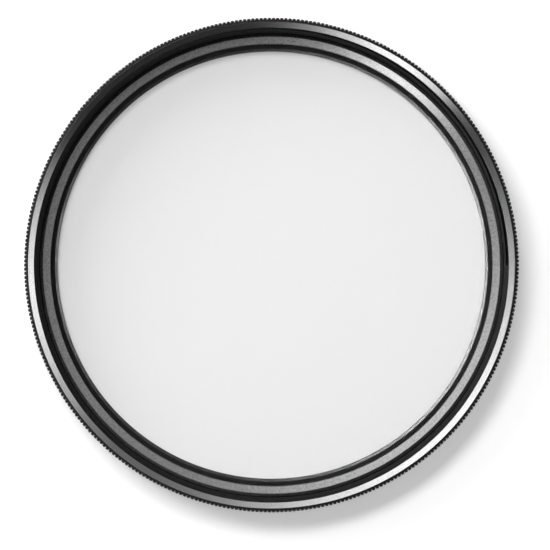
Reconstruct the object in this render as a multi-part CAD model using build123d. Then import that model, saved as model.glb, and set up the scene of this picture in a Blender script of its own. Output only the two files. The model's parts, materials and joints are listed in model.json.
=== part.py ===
from build123d import *
import os
from math import pi, radians, tan

# A round screw-in filter for a camera lens: a turned frame, a pane of glass and the ring that holds it.
# The axis is Z. The rear end, which screws into the lens, stands on z = 0, and the front looks up.
# All sizes are in millimetres. Widths are measured along the radius, heights and lengths along the axis.

# Filter threads: the rear one is outside, the front one inside, and both have the same size
thread_diameter = 52.0
thread_pitch = 0.75
rear_thread_length = 2.4
rear_thread_allowance = 0.05
rear_lead_in = 0.5
rear_groove_length = 0.4
groove_margin = 0.05

# Knurled rim, between two plain chamfers at the front and the rear
rim_wall = 1.19
rim_chamfer = 0.21
knurl_pitch = 0.457
knurl_depth = 0.19
knurl_tip_share = 0.3
knurl_root_margin = 0.05

# Front of the frame: a shallow bevel that runs in from the crest, then the mouth of the thread
bevel_slope = 18.0
mouth_relief = 0.1
front_depth = 3.4

# Seat of the glass at the rear
lip_thickness = 1.0
lip_width = 1.26
lip_bevel_width = 0.3
lip_bevel_slope = 18.0
lip_rear_chamfer = 0.2
shelf_width = 0.45
shelf_drop = 0.15

# Glass
glass_thickness = 2.0
glass_clearance = 0.1
glass_edge_chamfer = 0.15

# Retaining ring: a skirt that sits in the frame, and over it a flange with a wide outer chamfer
ring_height = 1.0
ring_recess = 0.25
ring_face_slope = 12.0
ring_inner_chamfer = 0.15
skirt_width = 0.9
skirt_step = 0.3
skirt_clearance = 0.05
skirt_lead_in = 0.15
flange_clearance = 0.1
flange_land = 0.1
flange_chamfer = 0.38
flange_seat_gap = 0.05

# Radii of the threads, by the standard 60 degree profile
sharp_thread_depth = thread_pitch * 3**0.5 / 2
inside_thread_depth = 5 / 8 * sharp_thread_depth
outside_thread_depth = 17 / 24 * sharp_thread_depth
thread_radius = thread_diameter / 2
front_minor_radius = thread_radius - inside_thread_depth
rear_major_radius = thread_radius - rear_thread_allowance
rear_groove_radius = rear_major_radius - outside_thread_depth - groove_margin
front_groove_radius = thread_radius + groove_margin

# Radii from the rim inwards
tip_radius = thread_radius + rim_wall
root_radius = tip_radius - knurl_depth
core_radius = root_radius - knurl_root_margin
crest_radius = core_radius - rim_chamfer
mouth_radius = thread_radius + mouth_relief
flange_radius = front_minor_radius - flange_clearance
ring_bore_radius = front_minor_radius - skirt_step
skirt_radius = ring_bore_radius - skirt_clearance
ring_inner_radius = skirt_radius - skirt_width
pocket_radius = ring_bore_radius - shelf_width
glass_radius = pocket_radius - glass_clearance
lip_radius = pocket_radius - lip_width

# Heights from the rear end upwards
glass_rear = lip_thickness
lip_edge_height = glass_rear - lip_bevel_width * tan(radians(lip_bevel_slope))
glass_front = glass_rear + glass_thickness
shelf_height = glass_front - shelf_drop
ring_top = glass_front + ring_height
flange_foot = ring_top - flange_chamfer - flange_land
bore_top = flange_foot - flange_seat_gap
front_groove_top = ring_top + ring_recess
crest_height = ring_top + front_depth
bevel_foot = crest_height - (crest_radius - mouth_radius) * tan(radians(bevel_slope))
mouth_foot = bevel_foot - (mouth_radius - front_minor_radius)
rear_groove_foot = rear_thread_length - rear_groove_length
knurl_bottom = rear_thread_length + rim_chamfer
knurl_top = crest_height - rim_chamfer

# As many whole teeth as fit the rim at about the stated pitch
knurl_teeth = round(2 * pi * tip_radius / knurl_pitch)


def turned(*section):
    """A solid of revolution from a closed outline of (radius, height) points."""
    return revolve(Plane.XZ * make_face(Polyline(*section, close=True)), Axis.Z)


def knurl_outline():
    """The rim seen along the axis: V grooves between teeth with narrow flat tips."""
    tooth = 360 / knurl_teeth
    half_tip = tooth * knurl_tip_share / 2
    points = []
    for number in range(knurl_teeth):
        middle = number * tooth
        points.append(Vector(tip_radius, 0).rotate(Axis.Z, middle - half_tip))
        points.append(Vector(tip_radius, 0).rotate(Axis.Z, middle + half_tip))
        points.append(Vector(root_radius, 0).rotate(Axis.Z, middle + tooth / 2))
    return make_face(Polyline(*points, close=True))


def knurl_band():
    """The band of teeth, reaching inwards into the turned body as far as the crest of the rim."""
    band = knurl_outline() - Circle(crest_radius)
    return Pos(0, 0, knurl_bottom) * extrude(band, knurl_top - knurl_bottom)


def filter_frame():
    """The turned body with its knurled band, in one piece."""
    body = turned(
        (lip_radius + lip_rear_chamfer, 0),
        (rear_major_radius - rear_lead_in, 0),
        (rear_major_radius, rear_lead_in),
        (rear_major_radius, rear_groove_foot),
        (rear_groove_radius, rear_groove_foot),
        (rear_groove_radius, rear_thread_length),
        (crest_radius, rear_thread_length),
        (core_radius, knurl_bottom),
        (core_radius, knurl_top),
        (crest_radius, crest_height),
        (mouth_radius, bevel_foot),
        (front_minor_radius, mouth_foot),
        (front_minor_radius, front_groove_top),
        (front_groove_radius, front_groove_top),
        (front_groove_radius, bore_top),
        (ring_bore_radius, bore_top),
        (ring_bore_radius, shelf_height),
        (pocket_radius, shelf_height),
        (pocket_radius, glass_rear),
        (lip_radius + lip_bevel_width, glass_rear),
        (lip_radius, lip_edge_height),
        (lip_radius, lip_rear_chamfer),
    )
    return body + knurl_band()


def filter_glass():
    """A flat pane with ground edges, lying on the lip."""
    return turned(
        (0, glass_rear),
        (glass_radius - glass_edge_chamfer, glass_rear),
        (glass_radius, glass_rear + glass_edge_chamfer),
        (glass_radius, glass_front - glass_edge_chamfer),
        (glass_radius - glass_edge_chamfer, glass_front),
        (0, glass_front),
    )


def retaining_ring():
    """A thin ring on the front of the glass: a skirt, a chamfered flange and a face that falls inwards."""
    face_radius = flange_radius - flange_chamfer
    edge_radius = ring_inner_radius + ring_inner_chamfer
    edge_height = ring_top - (face_radius - edge_radius) * tan(radians(ring_face_slope))
    return turned(
        (ring_inner_radius, glass_front),
        (skirt_radius - skirt_lead_in, glass_front),
        (skirt_radius, glass_front + skirt_lead_in),
        (skirt_radius, flange_foot),
        (flange_radius, flange_foot),
        (flange_radius, flange_foot + flange_land),
        (face_radius, ring_top),
        (edge_radius, edge_height),
        (ring_inner_radius, edge_height - ring_inner_chamfer),
    )


nodes = {
    "filter_frame": filter_frame(),
    "filter_glass": filter_glass(),
    "retaining_ring": retaining_ring(),
}

os.makedirs("parts", exist_ok=True)
for name, solid in nodes.items():
    export_step(solid, f"parts/{name}.step")
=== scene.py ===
import json
import math

import bmesh
import bpy
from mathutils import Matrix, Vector


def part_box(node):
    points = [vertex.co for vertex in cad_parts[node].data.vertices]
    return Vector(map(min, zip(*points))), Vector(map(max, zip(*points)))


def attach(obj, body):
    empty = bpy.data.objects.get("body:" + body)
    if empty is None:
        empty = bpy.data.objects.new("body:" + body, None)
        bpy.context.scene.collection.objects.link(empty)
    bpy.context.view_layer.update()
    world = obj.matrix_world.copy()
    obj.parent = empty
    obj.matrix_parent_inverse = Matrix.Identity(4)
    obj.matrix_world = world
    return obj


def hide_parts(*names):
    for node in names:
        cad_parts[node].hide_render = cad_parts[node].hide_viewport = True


# A round screw-in lens filter, lying front up on a white table and seen from straight above.
# The axis is Z, the rear end stands on z = 0, and every length is in metres.

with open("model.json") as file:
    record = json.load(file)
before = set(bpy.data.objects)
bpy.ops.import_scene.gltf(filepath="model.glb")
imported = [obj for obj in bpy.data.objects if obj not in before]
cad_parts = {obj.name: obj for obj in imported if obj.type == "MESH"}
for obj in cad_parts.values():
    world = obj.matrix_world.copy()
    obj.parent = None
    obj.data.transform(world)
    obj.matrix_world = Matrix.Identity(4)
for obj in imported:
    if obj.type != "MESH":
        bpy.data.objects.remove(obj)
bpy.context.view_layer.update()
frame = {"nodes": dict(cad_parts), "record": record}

MM = 0.001

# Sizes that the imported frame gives
mounts = {mount["name"]: mount for mount in frame["record"]["mounts"]}
frame_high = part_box("filter_frame")[1]
glass_low, glass_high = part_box("filter_glass")
ring_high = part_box("retaining_ring")[1]
tip_radius = frame_high.x
crest_height = frame_high.z
front_minor_radius = mounts["front_thread"]["dims"]["r_mm"] * MM
rear_major_radius = mounts["rear_thread"]["dims"]["r_mm"] * MM

# Sizes of the section, as in the solids,
# but with a steeper bevel on the lip and finer chamfers on the ring
thread_pitch = 0.75 * MM
thread_radius = 26.0 * MM
rear_thread_length = 2.4 * MM
rear_lead_in = 0.5 * MM
rear_groove_length = 0.4 * MM
groove_margin = 0.05 * MM
rim_width = 0.45 * MM
knurl_teeth = 374
bevel_slope = math.radians(18.0)
mouth_relief = 0.1 * MM
lip_width = 1.26 * MM
lip_bevel_width = 0.3 * MM
lip_bevel_slope = math.radians(26.0)
lip_rear_chamfer = 0.2 * MM
glass_clearance = 0.1 * MM
glass_edge_chamfer = 0.15 * MM
shelf_drop = 0.15 * MM
ring_recess = 0.25 * MM
ring_face_slope = math.radians(12.0)
ring_inner_chamfer = 0.06 * MM
skirt_width = 0.9 * MM
skirt_step = 0.3 * MM
skirt_clearance = 0.05 * MM
skirt_lead_in = 0.15 * MM
flange_height = 0.48 * MM
flange_chamfer = 0.3 * MM
flange_seat_gap = 0.05 * MM

# The knurl's grooves, which run out through the rim's chamfers close to the crest
groove_foot = 0.22 * MM
groove_tip_share = 0.6
chamfer_foot = 0.06 * MM

# Breaks at the edges, with the share of a break that is held flat beside it,
# and the hair's breadth between faces that lie on each other
fine_break = 0.02 * MM
edge_break = 0.045 * MM
ring_break = 0.06 * MM
hold_share = 0.2
hair_gap = 0.01 * MM

# Meshing: columns round the axis are counted in teeth of the knurl
columns_per_tooth = 10
thread_steps = 8
merge_distance = 0.001 * MM
sharp_angle = math.radians(38)

# The standard 60 degree thread profile, with its flats in shares of the pitch
sharp_thread_depth = thread_pitch * math.sqrt(3) / 2
inside_thread_depth = 5 / 8 * sharp_thread_depth
outside_thread_depth = 17 / 24 * sharp_thread_depth
narrow_flat = 1 / 8
wide_flat = 1 / 4

# Radii and heights that follow
crest_radius = tip_radius - rim_width
groove_radius = crest_radius + groove_foot
mouth_radius = thread_radius + mouth_relief
flange_radius = ring_high.x
ring_bore_radius = front_minor_radius - skirt_step
skirt_radius = ring_bore_radius - skirt_clearance
ring_inner_radius = skirt_radius - skirt_width
glass_radius = glass_high.x
pocket_radius = glass_radius + glass_clearance
lip_radius = pocket_radius - lip_width
rear_groove_radius = rear_major_radius - outside_thread_depth - groove_margin
front_groove_radius = thread_radius + groove_margin
glass_rear = glass_low.z
glass_front = glass_high.z
shelf_height = glass_front - shelf_drop
ring_top = ring_high.z
flange_foot = ring_top - flange_height
bore_top = flange_foot - flange_seat_gap
front_groove_top = ring_top + ring_recess
bevel_foot = crest_height - (crest_radius - mouth_radius) * math.tan(bevel_slope)
rear_groove_foot = rear_thread_length - rear_groove_length
lip_edge_height = glass_rear - lip_bevel_width * math.tan(lip_bevel_slope)


class Wire:
    """A socket in a node tree. Arithmetic on it adds Math nodes, and add() puts in any other node."""

    def __init__(self, tree, socket=None):
        self.tree = tree
        self.socket = socket

    def add(self, kind, settings=None, sockets=None, output=0):
        """Adds a node: its settings first, then the values or links of its sockets."""
        node = self.tree.nodes.new(kind)
        for name, value in (settings or {}).items():
            setattr(node, name, value)
        for name, value in (sockets or {}).items():
            for one in value if isinstance(value, list) else [value]:
                if isinstance(one, Wire):
                    self.tree.links.new(one.socket, node.inputs[name])
                else:
                    node.inputs[name].default_value = one
        return Wire(self.tree, node.outputs[output] if len(node.outputs) else None)

    def math(self, operation, *values):
        return self.add("ShaderNodeMath", {"operation": operation}, dict(enumerate((self,) + values)))

    def __add__(self, other):
        return self.math("ADD", other)

    __radd__ = __add__

    def __sub__(self, other):
        return self.math("SUBTRACT", other)

    def __rsub__(self, other):
        return self.math("MULTIPLY_ADD", -1.0, other)

    def __mul__(self, other):
        return self.math("MULTIPLY", other)

    __rmul__ = __mul__

    def __truediv__(self, other):
        return self.math("DIVIDE", other)

    def least(self, other):
        return self.math("MINIMUM", other)

    def most(self, other):
        return self.math("MAXIMUM", other)

    def between(self, low, high):
        return self.most(low).least(high)

    def step(self, start, end):
        """Runs smoothly from 0 at start to 1 at end."""
        return self.add(
            "ShaderNodeMapRange",
            {"interpolation_type": "SMOOTHSTEP"},
            {"Value": self, "From Min": start, "From Max": end},
        )

    def blend(self, low, high):
        """The colour low where this is 0 and high where it is 1."""
        return self.add(
            "ShaderNodeMix",
            {"data_type": "RGBA"},
            {"Factor": self, 6: low, 7: high},
            output=2,
        )


def rounded_section(corners, steps=3):
    """Section points (radius, height) in which each corner (radius, height, break) is a short arc.
    A point just off each end of the arc keeps the shading of the faces beside it flat."""
    points = []
    for number, (radius, height, size) in enumerate(corners):
        here = Vector((radius, height))
        if size == 0:
            points.append(here)
            continue
        back = (Vector(corners[number - 1][:2]) - here).normalized()
        ahead = (Vector(corners[(number + 1) % len(corners)][:2]) - here).normalized()
        half_angle = back.angle(ahead) / 2
        centre = here + (back + ahead).normalized() * size / math.sin(half_angle)
        first = here + back * size / math.tan(half_angle) - centre
        last = here + ahead * size / math.tan(half_angle) - centre
        points.append(centre + first + back * size * hold_share)
        for step in range(steps + 1):
            points.append(centre + first.lerp(last, step / steps).normalized() * size)
        points.append(centre + last + ahead * size * hold_share)
    return points


def section_object(name, runs):
    """A mesh that holds the points of the section's runs one after another, for a node tree to turn."""
    mesh = bpy.data.meshes.new(name)
    mesh.from_pydata([(point.x, 0, point.y) for run in runs for point in run], [], [])
    piece = bpy.data.objects.new(name, mesh)
    bpy.context.scene.collection.objects.link(piece)
    return piece


def new_tree(name, inputs):
    """A Geometry Nodes tree with the named inputs, and a dictionary of wires from them."""
    tree = bpy.data.node_groups.new(name, "GeometryNodeTree")
    tree.is_modifier = True
    tree.interface.new_socket("Geometry", in_out="OUTPUT", socket_type="NodeSocketGeometry")
    for label, kind in inputs.items():
        tree.interface.new_socket(label, in_out="INPUT", socket_type=kind)
    source = tree.nodes.new("NodeGroupInput")
    return {label: Wire(tree, source.outputs[label]) for label in inputs}


def placed(grid, turn, radius, height):
    """The grid with its points at a share of a turn, a radius and a height."""
    angle = turn * math.tau
    spot = grid.add(
        "ShaderNodeCombineXYZ",
        None,
        {"X": radius * angle.math("COSINE"), "Y": radius * angle.math("SINE"), "Z": height},
    )
    return grid.add("GeometryNodeSetPosition", None, {"Geometry": grid, "Position": spot})


def open_grid(wire, columns, rows):
    """A flat grid to be bent round the axis, with each point's share of a turn and its row number."""
    grid = wire.add(
        "GeometryNodeMeshGrid",
        None,
        {"Size X": 1.0, "Size Y": 1.0, "Vertices X": columns + 1, "Vertices Y": rows},
    )
    spot = wire.add("GeometryNodeInputPosition")
    turn = wire.add("ShaderNodeSeparateXYZ", None, {"Vector": spot}, "X") + 0.5
    along = wire.add("ShaderNodeSeparateXYZ", None, {"Vector": spot}, "Y") + 0.5
    return grid, turn, (along * (rows - 1)).math("ROUND")


def turned_run(section, columns, first, count):
    """One run of the section, turned about the axis."""
    grid, turn, row = open_grid(section, columns, count)
    spot = section.add(
        "GeometryNodeSampleIndex",
        {"data_type": "FLOAT_VECTOR", "domain": "POINT"},
        {"Geometry": section, "Value": section.add("GeometryNodeInputPosition"), "Index": row + first},
    )
    radius = section.add("ShaderNodeSeparateXYZ", None, {"Vector": spot}, "X")
    height = section.add("ShaderNodeSeparateXYZ", None, {"Vector": spot}, "Z")
    return placed(grid, turn, radius, height)


def thread_ridge(height, turn, pitch, crest_flat, root_flat):
    """1 on the crest of a right-handed thread and 0 in its root, with straight flanks between them."""
    off_crest = (height / pitch - turn).math("PINGPONG", 0.5)
    foot = 0.5 - root_flat / 2
    return ((foot - off_crest) / (foot - crest_flat / 2)).between(0.0, 1.0)


def thread_band(columns, pitch, low, high):
    """A grid whose rows climb with the thread and are cut off at a low and a high end."""
    rows = math.ceil((high - low) / thread_pitch + 1) * thread_steps + 2
    grid, turn, row = open_grid(pitch, columns, rows)
    first = math.floor(low / thread_pitch) - 1
    height = ((row / thread_steps + first + turn) * pitch).between(low, high)
    return grid, turn, height


def rear_thread(columns, pitch, major):
    """The outside thread, with its lead-in at the rear end and the cut-off turn at the relief groove."""
    grid, turn, height = thread_band(columns, pitch, 0.0, rear_groove_foot)
    ridge = thread_ridge(height, turn, pitch, narrow_flat, wide_flat)
    lead_in = (major - rear_lead_in + height).least(major)
    return placed(grid, turn, (major - (1 - ridge) * outside_thread_depth).least(lead_in), height)


def front_thread(columns, pitch, minor, high):
    """The inside thread, with the chamfer of its mouth and the cut-off turn at the relief groove."""
    grid, turn, height = thread_band(columns, pitch, front_groove_top, high)
    ridge = thread_ridge(height, turn, pitch, wide_flat, narrow_flat)
    mouth = (height - (bevel_foot - mouth_radius)).most(minor)
    return placed(grid, turn, (minor + (1 - ridge) * inside_thread_depth).most(mouth), height)


def knurl_band(teeth, tip, groove, crest):
    """Straight teeth between V grooves, cut off at both ends by the rim's chamfers.
    Its first and last rows lie on the plain rim and close on one point for each tooth."""
    grid, turn, row = open_grid(teeth, teeth * columns_per_tooth, 4)
    place = turn * teeth
    off_tip = place.math("PINGPONG", 0.5)
    rise = ((0.5 - off_tip) / (0.5 - groove_tip_share / 2)).between(0.0, 1.0)
    tooth = groove - crest + rise * (tip - groove)
    on_rim = row.math("PINGPONG", 1.5).math("LESS_THAN", 0.5)
    out = tooth + on_rim * (chamfer_foot - tooth)
    upper = row.math("GREATER_THAN", 1.5)
    height = rear_thread_length + out + upper * (crest_height - rear_thread_length - 2 * out)
    just_over_half = 0.501
    whole_tooth = (place + just_over_half).math("FLOOR") / teeth
    return placed(grid, turn + on_rim * (whole_tooth - turn), crest + out, height)


def finished(bands, merge, finishes):
    """Joins the bands into one closed skin, gives it its finishes and wires it to the tree's output."""
    skin = bands[0].add("GeometryNodeJoinGeometry", None, {"Geometry": bands})
    skin = skin.add("GeometryNodeMergeByDistance", None, {"Geometry": skin, "Distance": merge})
    skin = skin.add("GeometryNodeSetShadeSmooth", None, {"Geometry": skin})
    skin = skin.add("GeometryNodeRealizeInstances", None, {"Geometry": skin})
    for material, where in finishes:
        sockets = {"Geometry": skin, "Selection": where, "Material": material}
        skin = skin.add("GeometryNodeSetMaterial", None, sockets)
    skin.add("NodeGroupOutput", None, {"Geometry": skin})


def plain_piece(piece, tree, values):
    """Runs the tree on the piece with the values, and leaves it with the plain mesh that comes out."""
    turning = piece.modifiers.new("turning", "NODES")
    turning.node_group = tree
    for socket in tree.interface.items_tree:
        if socket.name in values:
            turning[socket.identifier] = values[socket.name]
    graph = bpy.context.evaluated_depsgraph_get()
    mesh = bpy.data.meshes.new_from_object(piece.evaluated_get(graph))
    piece.modifiers.remove(turning)
    section = piece.data
    piece.data = mesh
    bpy.data.meshes.remove(section)
    mesh.name = piece.name
    skin = bmesh.new()
    skin.from_mesh(mesh)
    bmesh.ops.dissolve_degenerate(skin, dist=merge_distance, edges=skin.edges)
    bmesh.ops.recalc_face_normals(skin, faces=skin.faces)
    skin.to_mesh(mesh)
    skin.free()
    mesh.set_sharp_from_angle(angle=sharp_angle)
    return piece


def new_material(name):
    """A material with a Principled shader, the wire to build its maths from, and its Object coordinates."""
    material = bpy.data.materials.new(name)
    material.use_nodes = True
    shader = material.node_tree.nodes["Principled BSDF"]
    start = Wire(material.node_tree)
    spot = start.add("ShaderNodeTexCoord", None, None, "Object")
    return material, shader, spot


def radius_and_height(spot):
    """Distance from the axis and height, from Object coordinates."""
    x = spot.add("ShaderNodeSeparateXYZ", None, {"Vector": spot}, "X")
    y = spot.add("ShaderNodeSeparateXYZ", None, {"Vector": spot}, "Y")
    z = spot.add("ShaderNodeSeparateXYZ", None, {"Vector": spot}, "Z")
    return (x * x + y * y).math("SQRT"), z


def grain(spot, size, detail=2.0):
    """Fine speckle of about the given size, from 0 to 1."""
    return spot.add(
        "ShaderNodeTexNoise",
        {"noise_dimensions": "3D"},
        {"Vector": spot, "Scale": 1 / size, "Detail": detail, "Roughness": 0.6},
    )


def turning_lines(radius, height, size):
    """Rings that a turning tool leaves, from 0 to 1, across a face or along a wall."""
    return radius.add(
        "ShaderNodeTexNoise",
        {"noise_dimensions": "1D"},
        {"W": (radius + height) / size, "Scale": 1.0, "Detail": 3.0, "Roughness": 0.7},
    )


def link(shader, **wires):
    """Links wires to the shader's sockets, named with underscores for spaces."""
    for name, wire in wires.items():
        wire.tree.links.new(wire.socket, shader.inputs[name.replace("_", " ")])


def bump(spot, height, strength, distance):
    return spot.add("ShaderNodeBump", None, {"Height": height, "Strength": strength, "Distance": distance})


# Finishes: colours in linear light, and sizes of the marks that turning and blasting leave
deep_black = (0.002, 0.002, 0.0021, 1)
satin_black = (0.016, 0.016, 0.0163, 1)
bright_black = (0.008, 0.008, 0.0082, 1)
dark_grey = (0.04, 0.04, 0.04, 1)
pale_grey = (0.13, 0.13, 0.13, 1)
glass_tint = (0.772, 0.772, 0.772, 1)
glass_gleam = (0.12, 0.12, 0.12, 1)
passing_light = (0.94, 0.94, 0.94, 1)
table_white = (0.95, 0.95, 0.95, 1)
no_light = (0, 0, 0, 1)
table_lift = (0.33, 0.33, 0.33, 1)
speckle_size = 0.2 * MM
frame_lines = 0.05 * MM
frame_marks = 0.01 * MM
ring_lines = 0.09 * MM
ring_marks = 0.012 * MM
ground_grain = 0.1 * MM


def black_anodised():
    """Satin black anodised aluminium: duller on threads and walls, and a little paler on the knurl's tips."""
    material, shader, spot = new_material("black_anodised")
    radius, height = radius_and_height(spot)
    lines = turning_lines(radius, height, frame_lines)
    speckle = grain(spot, speckle_size)
    on_knurl = radius.step(crest_radius, crest_radius + edge_break)
    on_tips = radius.step(groove_radius, tip_radius)
    shade = (speckle - 0.5) * 1.8 + (lines - 0.5) * 0.3 + 0.35 + on_knurl * 0.2 + on_tips * 0.35
    link(
        shader,
        Base_Color=shade.between(0.0, 1.0).blend(deep_black, satin_black),
        Roughness=0.8 - on_knurl * 0.36 + (lines - 0.5) * 0.1 + (speckle - 0.5) * 0.1,
        Normal=bump(spot, lines * 0.5 + speckle * 0.5, 0.3, frame_marks),
    )
    shader.inputs["Specular IOR Level"].default_value = 0.06
    return material


def bright_turned_black():
    """The bevels at the front and round the lip: black anodised over a fine bright cut.
    The front one shows the tool's rings, and the lip's is smooth and duller."""
    material, shader, spot = new_material("bright_turned_black")
    radius, height = radius_and_height(spot)
    lines = turning_lines(radius, height, frame_lines)
    speckle = grain(spot, speckle_size)
    shade = (speckle - 0.5) * 0.6 + (lines - 0.5) * 0.5 + 0.5
    on_front = radius.step(pocket_radius, mouth_radius)
    link(
        shader,
        Base_Color=shade.between(0.0, 1.0).blend(deep_black, bright_black),
        Roughness=0.28 - on_front * 0.12 + ((lines - 0.5) * 0.06 + (speckle - 0.5) * 0.12) * on_front,
        Normal=bump(spot, (lines * 0.6 + speckle * 0.4) * on_front, 0.09, frame_marks),
    )
    return material


def grey_anodised():
    """Dark grey anodised aluminium, finely blasted, with faint rings from turning."""
    material, shader, spot = new_material("grey_anodised")
    radius, height = radius_and_height(spot)
    lines = turning_lines(radius, height, ring_lines)
    speckle = grain(spot, speckle_size, detail=3.0)
    shade = (speckle - 0.5) * 1.9 + (lines - 0.5) * 0.4 + 0.5
    link(
        shader,
        Base_Color=shade.between(0.0, 1.0).blend(dark_grey, pale_grey),
        Roughness=0.18 + (speckle - 0.5) * 0.2,
        Normal=bump(spot, speckle * 0.7 + lines * 0.3, 0.24, ring_marks),
    )
    return material


def clear_glass():
    """Polished clear glass with a ground edge, which lets the lamps' light through to what lies behind."""
    material, shader, spot = new_material("clear_glass")
    radius = radius_and_height(spot)[0]
    edge_start = glass_radius - glass_edge_chamfer
    edge_blur = 0.1 * glass_edge_chamfer
    on_edge = radius.step(edge_start - edge_blur, edge_start + edge_blur)
    link(shader, Roughness=on_edge * (0.35 + grain(spot, ground_grain) * 0.2))
    shader.inputs["Base Color"].default_value = glass_tint
    shader.inputs["Specular Tint"].default_value = glass_gleam
    shader.inputs["Transmission Weight"].default_value = 1.0
    shader.inputs["IOR"].default_value = 1.5
    output = material.node_tree.nodes["Material Output"]
    glass = Wire(material.node_tree, shader.outputs[0])
    clear = spot.add("ShaderNodeBsdfTransparent", None, {"Color": passing_light})
    lamp_ray = spot.add("ShaderNodeLightPath", None, None, "Is Shadow Ray")
    bounced_ray = spot.add("ShaderNodeLightPath", None, None, "Is Diffuse Ray")
    both = spot.add("ShaderNodeMixShader", None, {0: lamp_ray.most(bounced_ray), 1: glass, 2: clear})
    material.node_tree.links.new(both.socket, output.inputs["Surface"])
    return material


def white_table():
    """Plain matt white, lifted a little where it is looked at, directly, by a gleam or through the glass."""
    material, shader, spot = new_material("white_table")
    shader.inputs["Base Color"].default_value = table_white
    shader.inputs["Roughness"].default_value = 1.0
    shader.inputs["Specular IOR Level"].default_value = 0.0
    shader.inputs["Emission Strength"].default_value = 1.0
    seen = spot.add("ShaderNodeLightPath", None, None, "Is Camera Ray")
    for kind in ["Is Glossy Ray", "Is Transmission Ray"]:
        seen = seen.most(spot.add("ShaderNodeLightPath", None, None, kind))
    link(shader, Emission_Color=seen.blend(no_light, table_lift))
    return material


# Filter frame: the plain runs of its section, its two threads and its knurl
mouth_start = (mouth_radius - mouth_relief, bevel_foot - mouth_relief)
front_run = rounded_section([
    (crest_radius + chamfer_foot, crest_height - chamfer_foot, 0),
    (crest_radius, crest_height, fine_break),
    (mouth_radius, bevel_foot, edge_break),
    (*mouth_start, 0),
])
inner_run = rounded_section([
    (front_groove_radius, front_groove_top, 0),
    (front_groove_radius, bore_top, fine_break),
    (ring_bore_radius, bore_top, fine_break),
    (ring_bore_radius, shelf_height, fine_break),
    (pocket_radius, shelf_height, fine_break),
    (pocket_radius, glass_rear - hair_gap, 0),
    (lip_radius + lip_bevel_width, glass_rear - hair_gap, fine_break),
    (lip_radius, lip_edge_height - hair_gap, fine_break),
    (lip_radius, lip_rear_chamfer, fine_break),
    (lip_radius + lip_rear_chamfer, 0.0, fine_break),
    (rear_major_radius - rear_lead_in, 0.0, 0),
])
rear_run = rounded_section([
    (rear_groove_radius, rear_groove_foot, 0),
    (rear_groove_radius, rear_thread_length, edge_break),
    (crest_radius, rear_thread_length, edge_break),
    (crest_radius + chamfer_foot, rear_thread_length + chamfer_foot, 0),
])


def frame_tree(runs):
    inputs = new_tree("frame_turning", {
        "Section": "NodeSocketGeometry",
        "Teeth": "NodeSocketInt",
        "Tip radius": "NodeSocketFloat",
        "Groove radius": "NodeSocketFloat",
        "Crest radius": "NodeSocketFloat",
        "Thread pitch": "NodeSocketFloat",
        "Rear major radius": "NodeSocketFloat",
        "Front minor radius": "NodeSocketFloat",
        "Merge distance": "NodeSocketFloat",
        "Satin finish": "NodeSocketMaterial",
        "Bevel finish": "NodeSocketMaterial",
    })
    teeth = inputs["Teeth"]
    pitch = inputs["Thread pitch"]
    bands = []
    first = 0
    for run in runs:
        bands.append(turned_run(inputs["Section"], teeth, first, len(run)))
        first += len(run)
    bands.append(rear_thread(teeth, pitch, inputs["Rear major radius"]))
    bands.append(front_thread(teeth, pitch, inputs["Front minor radius"], mouth_start[1]))
    bands.append(knurl_band(teeth, inputs["Tip radius"], inputs["Groove radius"], inputs["Crest radius"]))
    radius, height = radius_and_height(teeth.add("GeometryNodeInputPosition"))
    on_bevel = height.math("GREATER_THAN", bevel_foot) * radius.math("LESS_THAN", crest_radius)
    above_edge = height.math("GREATER_THAN", lip_edge_height - hair_gap)
    under_glass = height.math("LESS_THAN", glass_rear)
    on_lip_bevel = above_edge * under_glass * radius.math("LESS_THAN", lip_radius + lip_bevel_width)
    finishes = [(inputs["Satin finish"], True), (inputs["Bevel finish"], on_bevel.most(on_lip_bevel))]
    finished(bands, inputs["Merge distance"], finishes)
    return teeth.tree


frame_runs = [front_run, inner_run, rear_run]
knurled_frame = plain_piece(
    section_object("knurled_frame", frame_runs),
    frame_tree(frame_runs),
    {
        "Teeth": knurl_teeth,
        "Tip radius": tip_radius,
        "Groove radius": groove_radius,
        "Crest radius": crest_radius,
        "Thread pitch": thread_pitch,
        "Rear major radius": rear_major_radius,
        "Front minor radius": front_minor_radius,
        "Merge distance": merge_distance,
        "Satin finish": black_anodised(),
        "Bevel finish": bright_turned_black(),
    },
)
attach(knurled_frame, "root")
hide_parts("filter_frame")

# Retaining ring: one closed section
ring_face_radius = flange_radius - flange_chamfer
ring_edge_radius = ring_inner_radius + ring_inner_chamfer
ring_edge_height = ring_top - (ring_face_radius - ring_edge_radius) * math.tan(ring_face_slope)
ring_foot = glass_front + hair_gap
ring_run = rounded_section([
    (ring_inner_radius, ring_foot, fine_break),
    (skirt_radius - skirt_lead_in, ring_foot, fine_break),
    (skirt_radius, ring_foot + skirt_lead_in, fine_break),
    (skirt_radius, flange_foot, fine_break),
    (flange_radius, flange_foot, fine_break),
    (flange_radius, ring_top - flange_chamfer, fine_break),
    (ring_face_radius, ring_top, ring_break),
    (ring_edge_radius, ring_edge_height, fine_break),
    (ring_inner_radius, ring_edge_height - ring_inner_chamfer, fine_break),
])
ring_run.append(ring_run[0])


def ring_tree(count):
    inputs = new_tree("ring_turning", {
        "Section": "NodeSocketGeometry",
        "Columns": "NodeSocketInt",
        "Merge distance": "NodeSocketFloat",
        "Satin finish": "NodeSocketMaterial",
    })
    bands = [turned_run(inputs["Section"], inputs["Columns"], 0, count)]
    finished(bands, inputs["Merge distance"], [(inputs["Satin finish"], True)])
    return inputs["Columns"].tree


glass_ring = plain_piece(
    section_object("glass_ring", [ring_run]),
    ring_tree(len(ring_run)),
    {"Columns": knurl_teeth, "Merge distance": merge_distance, "Satin finish": grey_anodised()},
)
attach(glass_ring, "root")
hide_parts("retaining_ring")

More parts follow.
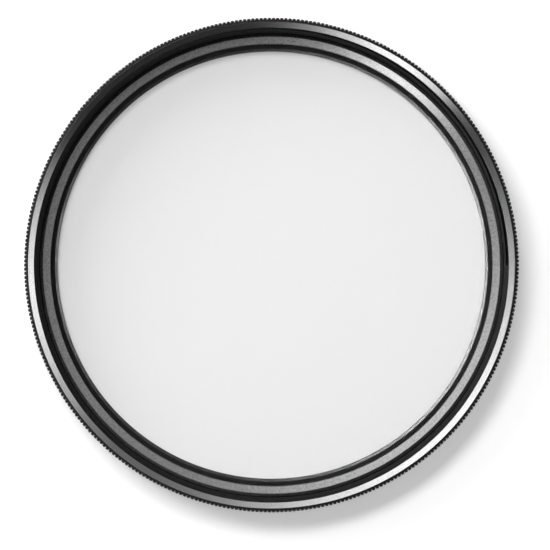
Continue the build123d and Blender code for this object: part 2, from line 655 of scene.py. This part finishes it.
# The glass keeps its solid and gets a clear finish
glass_pane = frame["nodes"]["filter_glass"]
glass_pane.data.materials.clear()
glass_pane.data.materials.append(clear_glass())

# Table
table_half = 2.0
table_corners = [(-1, -1), (1, -1), (1, 1), (-1, 1)]
table_top = -hair_gap
table_mesh = bpy.data.meshes.new("table")
table_mesh.from_pydata(
    [(x * table_half, y * table_half, table_top) for x, y in table_corners],
    [],
    [(0, 1, 2, 3)],
)
table_mesh.materials.append(white_table())
table = bpy.data.objects.new("table", table_mesh)
bpy.context.scene.collection.objects.link(table)


# Lamps: azimuths, tilts and steps in degrees
gleam_distance = 0.8
gleam_step = 10
gleam_overlap = 1.1
faintest_gleam = 0.2


def softbox(name, azimuth, tilt, distance, width, height, radiance):
    """A soft lamp aimed at the filter, placed by azimuth, tilt from straight above and distance."""
    lamp = bpy.data.lights.new(name, "AREA")
    lamp.shape = "RECTANGLE"
    lamp.size = width
    lamp.size_y = height
    lamp.energy = radiance * math.pi * width * height
    place = bpy.data.objects.new(name, lamp)
    turn = math.radians(azimuth)
    lean = math.radians(tilt)
    aside = math.sin(lean)
    place.location = distance * Vector((aside * math.cos(turn), aside * math.sin(turn), math.cos(lean)))
    place.rotation_euler = place.location.to_track_quat("Z", "Y").to_euler()
    bpy.context.scene.collection.objects.link(place)
    return place


def fade(off, reach):
    """Falls from 1 to 0 as an angle in degrees goes from 0 to its reach, on either side."""
    off = abs((off + 180) % 360 - 180)
    return (1 + math.cos(math.pi * off / reach)) / 2 if off < reach else 0.0


def gleam_row(name, slope, depth, peaks):
    """A row of small lamps round the axis that show only as gleams on gloss and add no light elsewhere.
    A face of the given slope mirrors them upwards from twice its slope, on the far side of the axis.
    Each peak is an azimuth, how far the light fades out on either side, and the radiance there."""
    tilt = 2 * math.degrees(slope)
    spacing = gleam_distance * math.sin(math.radians(tilt)) * math.radians(gleam_step)
    for azimuth in range(0, 360, gleam_step):
        radiance = sum(top * fade(azimuth - middle, reach) for middle, reach, top in peaks)
        if radiance > faintest_gleam:
            width = spacing * gleam_overlap
            place = softbox(f"{name}_{azimuth}", azimuth, tilt, gleam_distance, width, depth, radiance)
            place.visible_diffuse = False
            place.visible_volume_scatter = False


key = softbox("key", azimuth=120, tilt=18.7, distance=0.9, width=0.36, height=0.16, radiance=21.2)
side = softbox("side", azimuth=140, tilt=54, distance=0.9, width=0.585, height=0.585, radiance=3.3)
for lamp in [key, side]:
    lamp.visible_glossy = False

# Each sloping face of the filter mirrors a row of its own
bevel_peaks = [(134, 80, 31), (234, 13, 29), (246, 22, 22), (7, 40, 29.5), (50, 36, 3)]
ring_peaks = [(138, 80, 11.3), (140, 300, 3.3), (235, 19, 41), (40, 50, 1.2), (318, 44, 0.9)]
lip_peaks = [(173, 80, 46), (181, 37, 52), (247, 30, 4), (355, 26, 11)]
gleam_row("bevel_gleam", slope=bevel_slope, depth=0.12, peaks=bevel_peaks)
gleam_row("ring_gleam", slope=ring_face_slope, depth=0.1, peaks=ring_peaks)
gleam_row("lip_gleam", slope=lip_bevel_slope, depth=0.12, peaks=lip_peaks)

world = bpy.data.worlds.new("studio")
world.use_nodes = True
world.node_tree.nodes["Background"].inputs["Color"].default_value = (1, 1, 1, 1)
world.node_tree.nodes["Background"].inputs["Strength"].default_value = 0.3
bpy.context.scene.world = world

# Camera: straight above, a little off the axis, as in the photo
image_side = 550
photo_centre = (271.45, 265.1)
photo_tip_radius = 247.45
pixel = tip_radius / photo_tip_radius
camera_height = 1.2
lens_view = bpy.data.cameras.new("camera")
lens_view.sensor_width = 36.0
lens_view.lens = lens_view.sensor_width * (camera_height - crest_height + rim_width) / (pixel * image_side)
lens_view.clip_end = 10.0
camera = bpy.data.objects.new("camera", lens_view)
camera.location = (
    (image_side / 2 - photo_centre[0]) * pixel,
    (photo_centre[1] - image_side / 2) * pixel,
    camera_height,
)
bpy.context.scene.collection.objects.link(camera)
bpy.context.scene.camera = camera

bpy.context.scene.view_settings.view_transform = "Standard"
